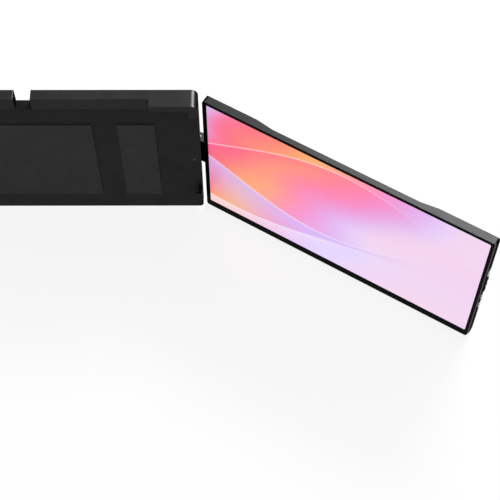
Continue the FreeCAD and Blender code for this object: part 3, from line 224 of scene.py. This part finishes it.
def coated(name, colour, rough, rim, edge=0.0004, wear_and_highlight=2.4, painted_ends=None):
    """Powder-coated or anodised metal: a fine even texture, chipped along its edges, the lighter chips partly a
    painted edge highlight.

    The rim is how much it mirrors at a grazing angle. The end masks, when given, paint matt black strips of
    shade on the ends and a thin band of painted highlight on one of them.
    """
    tree = Tree(name)
    soft = soft_normal(tree, edge)
    grain = tree.noise(5200.0, rough=0.6)
    clouds = tree.noise(11.0, detail=3.0)
    smudges = tree.noise(60.0, detail=3.0)
    chips = tree.remap(tree.noise(140.0, detail=4.0, rough=0.7), (0.45, 0.62))
    # lighter chips along the edges: partly wear, partly a painted highlight
    worn_and_highlit = tree.math("MULTIPLY", edge_mask(tree, soft), tree.math("MULTIPLY", chips, 0.5))
    shade = toned(tree, tree.remap(clouds, NOISE_BAND), colour, dark=0.92, light=1.10)
    shade = tree.mix(worn_and_highlit, shade, tone(colour, wear_and_highlight))
    metal = 1.0
    # painted shade and highlight: matt black strips on the panel's ends, and a thin light band on the far one
    if painted_ends:
        shade_strips, highlight_band = painted_ends(tree)
        painted_end_shade = tree.mix(highlight_band, rgb(0.004, 0.004, 0.0045), rgb(0.14, 0.14, 0.145))
        shade = tree.mix(shade_strips, shade, painted_end_shade)
        metal = tree.math("SUBTRACT", 1.0, shade_strips)
    tree.set(Base_Color=shade, Metallic=metal, Specular_Tint=rgb(rim, rim, rim), Specular_IOR_Level=0.0005,
             Roughness=tree.remap(smudges, NOISE_MIDDLE, (rough - 0.05, rough + 0.07)),
             Normal=tree.bump(grain, distance=0.000012, strength=0.6, normal=soft))
    return tree.material


def panel_end_shading(tree):
    """Two masks: black strips of painted shade on the panel's two ends, and a thin painted highlight band on the
    far one.
    """
    spot = tree.spot_from(HINGE)
    along = tree.dot(spot, ALONG)
    depth = tree.dot(spot, OUT_BACK)
    near_edge = PANEL_FROM + NEAR_SHADE_STRIP
    far_edge = PANEL_TO - FAR_SHADE_STRIP
    near = tree.remap(along, (near_edge, near_edge + STRIP_BLUR), (1.0, 0.0))
    far = tree.remap(along, (far_edge - STRIP_BLUR, far_edge))
    ahead = tree.remap(depth, (HIGHLIGHT_BAND_STOP, HIGHLIGHT_BAND_STOP + STRIP_BLUR), (1.0, 0.0))
    return tree.math("MAXIMUM", near, far), tree.math("MULTIPLY", far, ahead)


def silicone(name, colour, dots=0.0016, edge=0.0004):
    """Soft rubber with a close field of raised dots and some dust."""
    tree = Tree(name)
    cells = tree.node("ShaderNodeTexVoronoi", {"feature": "F1"}, Vector=tree.spot(), Scale=1.0 / dots,
                      Randomness=0.0)
    domes = tree.remap(cells.outputs["Distance"], (0.15, 0.45), (1.0, 0.0))
    fine = tree.noise(2600.0)
    height = tree.math("MULTIPLY_ADD", fine, 0.25, domes)
    dust = tree.remap(tree.noise(35.0, detail=5.0, rough=0.7), (0.45, 0.8), (0.0, 0.5))
    shade = toned(tree, dust, colour, dark=0.9, light=1.6)
    shade = tree.mix(tree.math("MULTIPLY", domes, 0.25), shade, tone(colour, 1.35))
    tree.set(Base_Color=shade, Specular_IOR_Level=0.2, Roughness=tree.remap(fine, NOISE_BAND, (0.72, 0.86)),
             Normal=tree.bump(height, distance=0.00018, strength=0.6, normal=soft_normal(tree, edge)))
    return tree.material


def drawn_steel(name, colour, rough, stretch=(40.0, 40.0, 900.0), edge=0.0002):
    """Bright metal with fine lines. The stretch is how fast they change along X, Y and Z."""
    tree = Tree(name)
    mapping = tree.node("ShaderNodeMapping", None, Vector=tree.spot(), Scale=stretch)
    lines = tree.noise(8.0, detail=4.0, rough=0.65, vector=mapping.outputs[0])
    shade = toned(tree, tree.remap(lines, NOISE_BAND), colour, dark=0.8, light=1.1)
    tree.set(Base_Color=shade, Metallic=1.0,
             Roughness=tree.remap(lines, NOISE_BAND, (rough - 0.05, rough + 0.1)),
             Normal=tree.bump(lines, distance=0.000008, strength=0.5, normal=soft_normal(tree, edge)))
    return tree.material


def circuit_board(name):
    """Green solder mask with lighter tracks in a grid."""
    tree = Tree(name)
    tracks = tree.node("ShaderNodeTexBrick", {"offset": 0.37}, Vector=tree.spot(), Scale=160.0,
                       Mortar_Size=0.05, Mortar=rgb(0.06, 0.28, 0.15), Color1=rgb(0.02, 0.13, 0.07),
                       Color2=rgb(0.025, 0.16, 0.085))
    tree.set(Base_Color=tracks.outputs["Color"],
             Roughness=tree.remap(tree.noise(90.0), NOISE_BAND, (0.3, 0.45)),
             Normal=tree.bump(tracks.outputs["Fac"], distance=0.00003, strength=0.5))
    return tree.material


def gloss_black(name, colour, rough, edge=0.0003):
    """Semi-gloss black with faint finger smears, and edges lightened as wear and as a painted highlight."""
    tree = Tree(name)
    soft = soft_normal(tree, edge)
    smears = tree.noise(28.0, detail=6.0, rough=0.65)
    shade = toned(tree, tree.remap(smears, (0.4, 0.7)), colour, dark=0.9, light=1.4)
    # edges lightened: partly wear, partly a painted highlight
    shade = tree.mix(tree.math("MULTIPLY", edge_mask(tree, soft), 0.5), shade, tone(colour, 2.5))
    tree.set(Base_Color=shade, Specular_IOR_Level=0.006,
             Roughness=tree.remap(smears, NOISE_BAND, (rough - 0.04, rough + 0.10)),
             Normal=tree.bump(tree.noise(3000.0), distance=0.000006, strength=0.5, normal=soft))
    return tree.material


# The lit picture

GRADIENT = ((0.0, (206, 206, 250)), (0.08, (220, 180, 240)), (0.16, (255, 92, 140)),
            (0.30, (252, 120, 112)), (0.42, (252, 186, 100)), (0.52, (252, 158, 140)),
            (0.62, (255, 136, 190)), (0.74, (226, 164, 236)), (0.88, (226, 206, 250)),
            (1.0, (244, 213, 237)))
GRADIENT_START = 0.42          # the gradient's value at the lower left corner
GRADIENT_ACROSS = 1.1          # how much it grows across the width, and up the height
GRADIENT_RISE = -0.41
GRADIENT_DRIFT = 0.5           # how far slow noise shifts it
RIBBONS = (                    # level, height, cycles, phase, thickness, colour and share of each
    (0.72, 0.24, 0.62, -0.4, 0.50, (255, 84, 138), 0.60),
    (0.42, 0.16, 0.80, 2.6, 0.42, (206, 186, 252), 0.75),
    (0.20, 0.13, 0.70, 4.3, 0.34, (240, 232, 254), 0.65))
RIBBON_FADE = (0.45, 0.78)     # where the ribbons fade, across the width
RIBBON_LEAST = 0.04            # their share after that
CREST_BLUR = 0.003             # half the width of a crest's soft edge, in display heights
CREST_LINE = (0.002, 0.009)    # where the line along a crest starts and ends its fading
CREST_SHARE = 0.8              # the line's share, as a part of the ribbon's
CREST_COLOUR = rgb(1.0, 0.86, 0.90)
DISPLAY_GLOW = 0.97


def panel_spot(tree):
    """Coordinates on the display: 0 to 1 along its width and up its height."""
    spot = tree.spot_from(HINGE + ALONG * DISPLAY_FROM + UP * DISPLAY_LOW)
    return (tree.math("DIVIDE", tree.dot(spot, ALONG), DISPLAY_WIDE),
            tree.math("DIVIDE", tree.dot(spot, UP), DISPLAY_TALL))


def ramp(tree, value, stops):
    """A smooth run of screen colours, each at its place between 0 and 1."""
    made = tree.node("ShaderNodeValToRGB", None, Fac=value)
    made.color_ramp.interpolation = "B_SPLINE"
    elements = made.color_ramp.elements
    for i, (place, colour) in enumerate((stops[0], stops[-1])):
        elements[i].position = place
        elements[i].color = screen_rgb(*colour)
    for place, colour in stops[1:-1]:
        elements.new(place).color = screen_rgb(*colour)
    return made.outputs["Color"]


def ribbon(tree, across, rise, level, height, cycles, phase, thick):
    """Two masks for a ribbon that runs across the display: its body, and a thin line along its crest."""
    angle = tree.math("MULTIPLY_ADD", across, cycles * math.tau, phase)
    crest = tree.math("MULTIPLY_ADD", tree.math("SINE", angle), height, level)
    under = tree.math("SUBTRACT", crest, rise)
    body = tree.math("MULTIPLY", tree.remap(under, (-CREST_BLUR, CREST_BLUR)),
                     tree.remap(under, (0.0, thick), (1.0, 0.0)))
    line = tree.remap(tree.math("ABSOLUTE", under), CREST_LINE, (1.0, 0.0))
    return body, line


def lit_display(name):
    """A lit sheet: a slanted gradient from warm to pale, crossed by three thin-edged ribbons."""
    tree = Tree(name)
    across, rise = panel_spot(tree)
    flat = tree.node("ShaderNodeCombineXYZ", None, X=across, Y=rise).outputs[0]
    drift = tree.math("SUBTRACT", tree.noise(1.6, detail=1.0, vector=flat), 0.5)
    slant = tree.math("MULTIPLY_ADD", across, GRADIENT_ACROSS, GRADIENT_START)
    slant = tree.math("MULTIPLY_ADD", rise, GRADIENT_RISE, slant)
    slant = tree.math("MULTIPLY_ADD", drift, GRADIENT_DRIFT, slant)
    picture = ramp(tree, slant, GRADIENT)
    for level, height, cycles, phase, thick, colour, share in RIBBONS:
        body, line = ribbon(tree, across, rise, level, height, cycles, phase, thick)
        fade = tree.remap(across, RIBBON_FADE, (share, RIBBON_LEAST))
        picture = tree.mix(tree.math("MULTIPLY", body, fade), picture, screen_rgb(*colour))
        line_share = tree.math("MULTIPLY", line, tree.math("MULTIPLY", fade, CREST_SHARE))
        picture = tree.mix(line_share, picture, CREST_COLOUR)
    tree.set(Base_Color=rgb(0.01, 0.01, 0.012), Roughness=0.3, Specular_IOR_Level=0.15,
             Emission_Color=picture, Emission_Strength=DISPLAY_GLOW)
    return tree.material


materials = {
    "frame_shell": moulded("shell_plastic", rgb(0.012, 0.0125, 0.0135), rough=0.50, grain=0.0005,
                           depth=0.00003),
    "frame_front": moulded("front_plastic", rgb(0.014, 0.0145, 0.0155), rough=0.55),
    "clamp_metal": coated("clamp_coating", rgb(0.040, 0.0402, 0.041), rough=0.33, rim=0.0),
    "rubber": silicone("pad_silicone", rgb(0.028, 0.0285, 0.030)),
    # its ends get strips of painted shade and a painted highlight band
    "panel_metal": coated("panel_anodised", rgb(0.040, 0.0404, 0.0412), rough=0.38, wear_and_highlight=1.5, rim=0.0,
                          painted_ends=panel_end_shading),
    "bezel": gloss_black("bezel_black", rgb(0.0036, 0.0036, 0.004), rough=0.32),
    "display": lit_display("lit_display"),
    "tray": drawn_steel("tray_steel", rgb(0.56, 0.57, 0.58), rough=0.35),
    "board": circuit_board("board_green"),
    "port_metal": drawn_steel("port_plating", rgb(0.78, 0.79, 0.80), rough=0.22,
                              stretch=(300.0, 300.0, 60.0)),
    "hinge_metal": coated("hinge_coating", rgb(0.06, 0.0605, 0.062), rough=0.38, wear_and_highlight=1.5, rim=0.1),
    "steel": drawn_steel("rod_steel", rgb(0.60, 0.60, 0.61), rough=0.25,
                         stretch=(900.0, 900.0, 30.0)),
    "screw_black": coated("screw_oxide", rgb(0.07, 0.07, 0.074), rough=0.34, edge=0.0002, rim=0.6),
    "spring_steel": drawn_steel("spring_wire", rgb(0.45, 0.45, 0.47), rough=0.3),
    "button": moulded("button_plastic", rgb(0.030, 0.031, 0.033), rough=0.42, edge=0.0004),
    "washer": drawn_steel("washer_bronze", rgb(0.60, 0.46, 0.24), rough=0.3),
}
slots = {part["node"]: part["material_slot"] for part in frame["record"]["subparts"]}
for name, obj in nodes.items():
    obj.data.materials.clear()
    obj.data.materials.append(materials[slots[name]])


# Pieces in mesh code

WELD = 1e-6                    # corners of a node's mesh that lie closer than this are one
SCREW_TIP = (0.7, 0.0004)      # a shank's tapered tip: share of its radius, and height
PAN_HEAD = (                   # shares of the head's radius, and of its height below the top
    (0.96, 1.0), (1.0, 0.85), (1.0, 0.45), (0.93, 0.2), (0.75, 0.06), (0.6, 0.0))
RECESS_SIZE = 0.55             # a cross recess's reach, as a share of the head's radius
RECESS_ARM = 0.26              # half an arm's width, as a share of the reach
RECESS_LIP = (1.04, 0.00001)   # share of the reach, and depth in metres
RECESS_FOOT = (0.86, 0.5)      # share of the reach, and depth as a share of the head's height
RECESS_POINT = (0.05, 0.62)    # share of the head's radius, and depth as a share of its height


def new_piece(name, build, slot, body):
    """A piece with the mesh that build makes. It rides on a body and takes a slot's material."""
    mesh = bpy.data.meshes.new(name)
    bm = bmesh.new()
    build(bm)
    bmesh.ops.recalc_face_normals(bm, faces=bm.faces)
    bm.to_mesh(mesh)
    bm.free()
    mesh.materials.append(materials[slot])
    obj = bpy.data.objects.new(name, mesh)
    bpy.context.scene.collection.objects.link(obj)
    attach(obj, body)
    return obj


def solids_of(name):
    """The corner lists of a node's separate solids, in the same order each run."""
    bm = bmesh.new()
    bm.from_mesh(nodes[name].data)
    bmesh.ops.remove_doubles(bm, verts=bm.verts, dist=WELD)
    left = set(bm.verts)
    found = []
    while left:
        reached = {left.pop()}
        front = list(reached)
        while front:
            vert = front.pop()
            for edge in vert.link_edges:
                other = edge.other_vert(vert)
                if other not in reached:
                    reached.add(other)
                    front.append(other)
        left -= reached
        found.append(sorted((vert.co.copy() for vert in reached), key=tuple))
    bm.free()
    found.sort(key=lambda points: tuple(round(value, 5) for value in sum(points, Vector()) / len(points)))
    return found


def square_pair(direction):
    """Two directions square to a level one and to each other."""
    side = direction.cross(UP).normalized()
    return side, direction.cross(side)


def skin_between(bm, first, second):
    """Faces between two closed rows of corners."""
    count = len(first)
    for i in range(count):
        bm.faces.new((first[i], first[(i + 1) % count], second[(i + 1) % count], second[i]))


def skin_over(bm, rows):
    """Faces over a run of closed rows of corners, with a cap at each end."""
    for first, second in zip(rows, rows[1:]):
        skin_between(bm, first, second)
    bm.faces.new(list(reversed(rows[0])))
    bm.faces.new(rows[-1])


def lathe(bm, centre, direction, rings, steps=36):
    """A closed turned form: each ring is a radius, or a function of the angle, and a height."""
    side, other = square_pair(direction)
    rows = []
    for radius, height in rings:
        row = []
        for i in range(steps):
            angle = i * math.tau / steps
            reach = radius(angle) if callable(radius) else radius
            spot = centre + direction * height + (side * math.cos(angle) + other * math.sin(angle)) * reach
            row.append(bm.verts.new(spot))
        rows.append(row)
    skin_over(bm, rows)


def cross_reach(size):
    """The outline of a cross recess, as a reach for each angle."""
    def reach(angle):
        turn = abs((angle + math.pi / 4) % (math.pi / 2) - math.pi / 4)
        return size * RECESS_ARM / max(math.sin(turn), RECESS_ARM)
    return reach


def screw_set(node, body, heading, head=0.0019, tall=0.0011, shank=0.001):
    """Pan screws with a cross recess in the places of a node's plain ones.

    The heading is the way out of their heads, or a function that gives it for a screw's corners.
    """
    recess = head * RECESS_SIZE
    tip_wide, tip_tall = SCREW_TIP
    lip_wide, lip_deep = RECESS_LIP
    foot_wide, foot_deep = RECESS_FOOT
    point_wide, point_deep = RECESS_POINT

    def build(bm):
        for points in solids_of(node):
            way = heading(points) if callable(heading) else heading
            tail, face = span(points, way)
            middle = Vector()
            for direction in square_pair(way):
                middle += direction * sum(span(points, direction)) / 2
            rings = [(shank * tip_wide, tail - face), (shank, tail - face + tip_tall), (shank, -tall)]
            rings += [(head * wide, -tall * deep) for wide, deep in PAN_HEAD]
            rings += [(cross_reach(recess * lip_wide), -lip_deep),
                      (cross_reach(recess * foot_wide), -tall * foot_deep),
                      (head * point_wide, -tall * point_deep)]
            lathe(bm, middle + way * face, way, rings)
    piece = new_piece(node + "_turned", build, "screw_black", body)
    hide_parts(node)


def rounded_outline(half_tall, half_deep, corner, steps=6):
    """Corners of a rounded rectangle, as pairs of height and depth."""
    spots = []
    for quarter in range(4):
        tall = (half_tall - corner) * (1 if quarter in (0, 3) else -1)
        deep = (half_deep - corner) * (1 if quarter in (0, 1) else -1)
        for i in range(steps + 1):
            angle = (quarter + i / steps) * math.pi / 2
            spots.append((tall + corner * math.cos(angle), deep + corner * math.sin(angle)))
    return spots


def port_collar(node, wall=0.00045, fit=0.00005, proud=0.0002, sunk=0.0006, corner=0.0012):
    """A thin plated collar around a port's mouth, standing just proud of the panel's end."""
    points = corners_of(node, HINGE)
    low, high = span(points, UP)
    front, back = span(points, OUT_BACK)
    centre = HINGE + OUT_BACK * ((front + back) / 2) + UP * ((low + high) / 2)
    half_tall = (high - low) / 2 + fit
    half_deep = (back - front) / 2 + fit

    def build(bm):
        inner = rounded_outline(half_tall, half_deep, corner)
        outer = rounded_outline(half_tall + wall, half_deep + wall, corner + wall)
        rows = []
        for spots, reach in ((inner, PANEL_TO - sunk), (outer, PANEL_TO - sunk),
                             (outer, PANEL_TO + proud), (inner, PANEL_TO + proud)):
            rows.append([bm.verts.new(centre + ALONG * reach + UP * tall + OUT_BACK * deep)
                         for tall, deep in spots])
        for first, second in zip(rows, rows[1:] + rows[:1]):
            skin_between(bm, first, second)
    new_piece(node + "_collar", build, "port_metal", "panel")


def coil_spring(node, wire=0.00025, turns=24, flat=1.25, steps=20, sides=6):
    """A closed-end helix in place of a node's plain tube.

    The wire is its radius, flat is how many turns lie closed at each end, steps are the places on a
    turn, and sides are the corners round the wire.
    """
    points = corners_of(node)
    left, right = span(points, RIGHT)
    near, far = span(points, BACK)
    low, high = span(points, UP)
    reach = (right - left) / 2 - wire
    first = low + wire
    last = high - wire
    flat_tall = 2 * wire * flat

    def height(turn):
        if turn < flat:
            return first + 2 * wire * turn
        if turn > turns - flat:
            return last - 2 * wire * (turns - turn)
        return first + flat_tall + (last - first - 2 * flat_tall) * (turn - flat) / (turns - 2 * flat)

    def build(bm):
        rows = []
        for i in range(turns * steps + 1):
            angle = i * math.tau / steps
            outward = Vector((math.cos(angle), math.sin(angle), 0.0))
            core = Vector(((left + right) / 2, (near + far) / 2, height(i / steps))) + outward * reach
            row = []
            for k in range(sides):
                turn = k * math.tau / sides
                row.append(bm.verts.new(core + (outward * math.cos(turn) + UP * math.sin(turn)) * wire))
            rows.append(row)
        skin_over(bm, rows)
    piece = new_piece(node + "_wound", build, "spring_steel", "frame")
    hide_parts(node)
    for face in piece.data.polygons:
        face.use_smooth = True
    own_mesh(piece)


def sideways(points):
    """Away from the frame's middle, on the side where the points are."""
    return RIGHT if points[0].x > 0 else -RIGHT


screw_set("plate_screws", "frame", -BACK)
screw_set("cover_screws", "frame", BACK)
screw_set("leaf_screws", "frame", BACK)
screw_set("guard_screws", "frame", sideways)
screw_set("hook_screws", "top_clamp", BACK)
screw_set("panel_screws", "panel", OUT_BACK)
for spring in ("clamp_spring_left", "clamp_spring_right"):
    coil_spring(spring)
for port in ("video_port", "usb_port_upper", "usb_port_lower"):
    port_collar(port)


# Stage, light and camera

FLOOR_HALF = 5.0               # half the floor's side
FLOOR_GLOW = 0.85              # how much of the floor's look is plain white to the camera and in mirrors
WORLD_LIGHT = 0.35
AIM = (0.2, -0.05, 0.0)        # near the object's middle
LAMPS = (                      # name, place, target, size and watts of each
    ("key", (1.10, 0.75, 1.2), AIM, (1.5, 1.1), 11.5),
    ("top", (-0.1, 0.68, 1.25), AIM, (1.1, 0.9), 1.6),
    ("fill", (-0.7, -0.5, 1.3), AIM, (1.0, 1.0), 6.0),
    ("strip", (0.76, 0.80, 0.98), (0.16, 0.0, 0.1), (0.60, 0.30), 17.0))
CAMERA_PLACE = (0.210330, -0.723948, 1.076717)
CAMERA_YAW = -0.000578         # turned from straight ahead to the right, in radians
CAMERA_PITCH = 1.046601        # tipped down from level
CAMERA_ROLL = -0.001485
SENSOR_WIDE = 36.0             # in millimetres
PICTURE_PIXELS = 500.0         # the picture's width
FOCAL_PIXELS = 1316.11         # focal length, in the picture's pixels
NEAREST = 0.01                 # the camera sees nothing nearer than this


def build_floor():
    """A white paper floor that shows to the camera as an even white, with soft shadows."""
    mesh = bpy.data.meshes.new("floor")
    signs = ((-1, -1), (1, -1), (1, 1), (-1, 1))
    mesh.from_pydata([(x * FLOOR_HALF, y * FLOOR_HALF, FLOOR_LEVEL) for x, y in signs], [], [(0, 1, 2, 3)])
    floor = bpy.data.objects.new("floor", mesh)
    bpy.context.scene.collection.objects.link(floor)
    tree = Tree("floor_paper")
    grain = tree.noise(400.0, detail=3.0)
    tree.set(Base_Color=tree.mix(grain, rgb(0.86, 0.86, 0.87), rgb(0.90, 0.90, 0.90)), Roughness=0.9)
    path = tree.node("ShaderNodeLightPath").outputs
    seen = tree.math("MAXIMUM", path["Is Glossy Ray"], path["Is Transmission Ray"])
    seen = tree.math("MAXIMUM", path["Is Camera Ray"], seen)
    glow = tree.node("ShaderNodeEmission", None, Color=rgb(1.0, 1.0, 1.0), Strength=1.0)
    blend = tree.node("ShaderNodeMixShader", None, Fac=tree.math("MULTIPLY", seen, FLOOR_GLOW),
                      i1=tree.shader.outputs[0], i2=glow.outputs[0])
    tree.feed(tree.output.inputs["Surface"], blend.outputs[0])
    mesh.materials.append(tree.material)


def area_light(name, place, target, size, watts):
    """A rectangular lamp at a place, facing a target."""
    data = bpy.data.lights.new(name, "AREA")
    data.shape = "RECTANGLE"
    data.size, data.size_y = size
    data.energy = watts
    lamp = bpy.data.objects.new(name, data)
    lamp.location = place
    lamp.rotation_euler = (Vector(target) - Vector(place)).to_track_quat("-Z", "Y").to_euler()
    bpy.context.scene.collection.objects.link(lamp)


def build_light():
    """An even white surround and the lamps."""
    world = bpy.data.worlds.new("studio")
    world.use_nodes = True
    surround = world.node_tree.nodes["Background"].inputs
    surround["Color"].default_value = rgb(1.0, 1.0, 1.0)
    surround["Strength"].default_value = WORLD_LIGHT
    bpy.context.scene.world = world
    for lamp in LAMPS:
        area_light(*lamp)


def build_camera():
    """The camera that sees the object as the photograph does."""
    level = math.cos(CAMERA_PITCH)
    forward = Vector((math.sin(CAMERA_YAW) * level, math.cos(CAMERA_YAW) * level, -math.sin(CAMERA_PITCH)))
    right = Vector((math.cos(CAMERA_YAW), -math.sin(CAMERA_YAW), 0.0))
    upward = right.cross(forward)
    right, upward = (right * math.cos(CAMERA_ROLL) + upward * math.sin(CAMERA_ROLL),
                     upward * math.cos(CAMERA_ROLL) - right * math.sin(CAMERA_ROLL))
    data = bpy.data.cameras.new("camera")
    data.sensor_width = SENSOR_WIDE
    data.lens = SENSOR_WIDE * FOCAL_PIXELS / PICTURE_PIXELS
    data.clip_start = NEAREST
    camera = bpy.data.objects.new("camera", data)
    turn = Matrix((right, upward, -forward)).transposed().to_4x4()
    camera.matrix_world = Matrix.Translation(CAMERA_PLACE) @ turn
    bpy.context.scene.collection.objects.link(camera)
    bpy.context.scene.camera = camera


build_floor()
build_light()
build_camera()
bpy.context.scene.view_settings.view_transform = "Standard"
